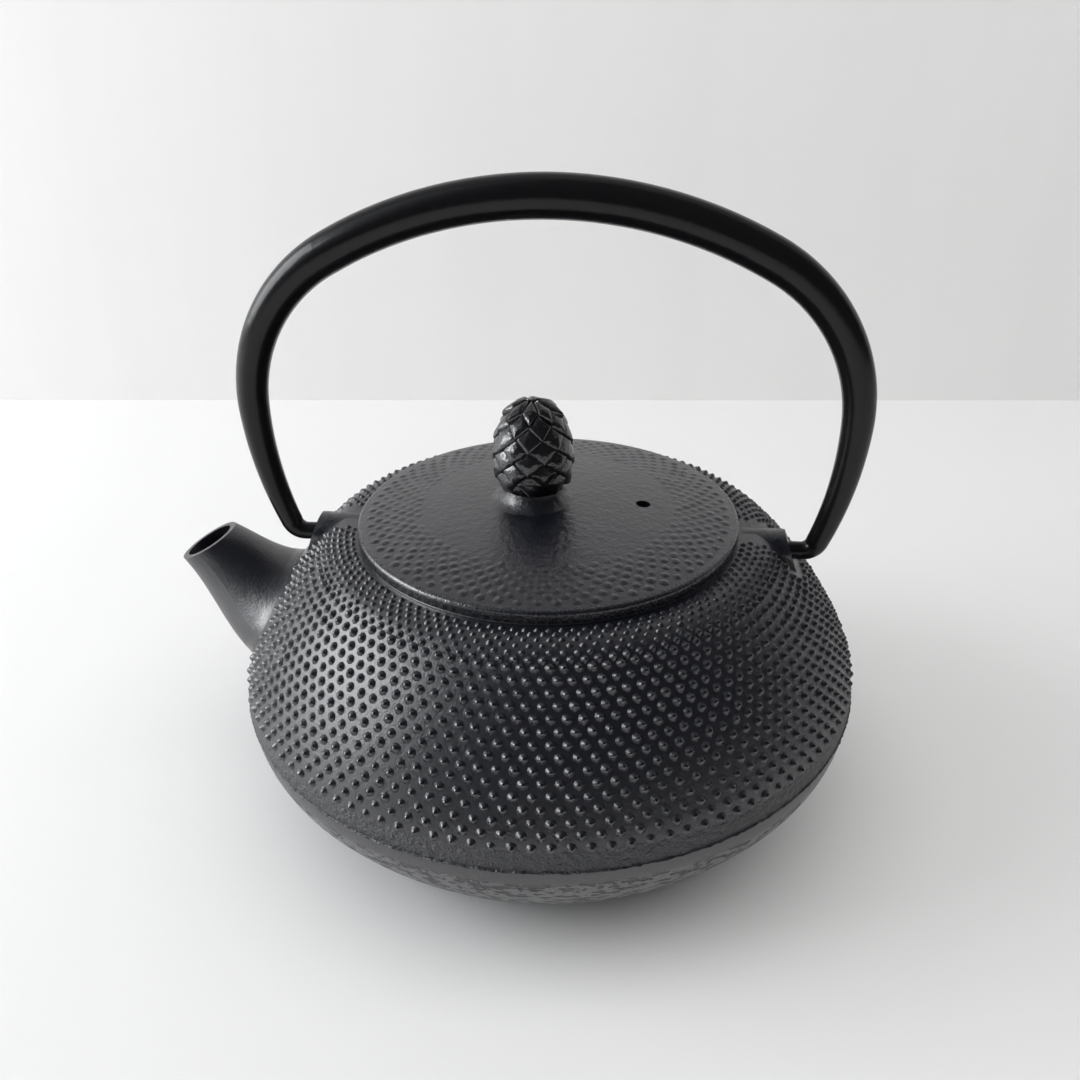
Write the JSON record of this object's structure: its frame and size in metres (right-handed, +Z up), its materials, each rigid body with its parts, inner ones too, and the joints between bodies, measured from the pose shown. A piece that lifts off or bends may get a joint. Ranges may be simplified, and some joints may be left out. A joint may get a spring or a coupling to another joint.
{
  "type": "cast iron teapot",
  "caption": "Flattened round cast iron teapot with side spout, arched swinging handle, wide lid with pine cone knob, and a removable tea strainer.",
  "frame": {"origin": "centre of the flat base on the pot's axis", "axes": "+Z up along the pot's axis, +X towards the spout, handle pins along X"},
  "size_m": [0.1612, 0.144, 0.1447],
  "materials": {
    "pot_iron": "black lacquered casting, satin, with a hailstone pattern on its upper half",
    "lid_iron": "black lacquered casting, satin, fine grain with rows of soft bumps",
    "knob_iron": "glossy black lacquer over a cast pine cone",
    "handle_steel": "satin black paint on bent steel",
    "plain_steel": "dull steel",
    "stainless": "pressed stainless steel, bright",
    "mesh_wire": "woven stainless wire"
  },
  "bodies": {
    "pot": {"pot_body": "pot_iron"},
    "handle": {"handle": "handle_steel"},
    "strainer": {"strainer_rim": "stainless", "strainer_side_mesh": "mesh_wire", "strainer_floor_mesh": "mesh_wire", "strainer_hoop": "stainless"},
    "lid": {"lid": "lid_iron", "lid_knob": "knob_iron", "knob_washer": "plain_steel"}
  },
  "joints": [
    {"name": "handle_swing", "type": "hinge", "parent": "pot", "child": "handle", "pos_m": [0, 0, 0.0631], "axis": [1, 0, 0], "range_deg": [-104, 104]},
    {"name": "strainer_lift", "type": "slide", "parent": "pot", "child": "strainer", "axis": [0, 0, 1], "range_m": [0, 0.036]},
    {"name": "lid_lift", "type": "slide", "parent": "strainer", "child": "lid", "axis": [0, 0, 1], "range_m": [0, 0.036]}
  ]
}
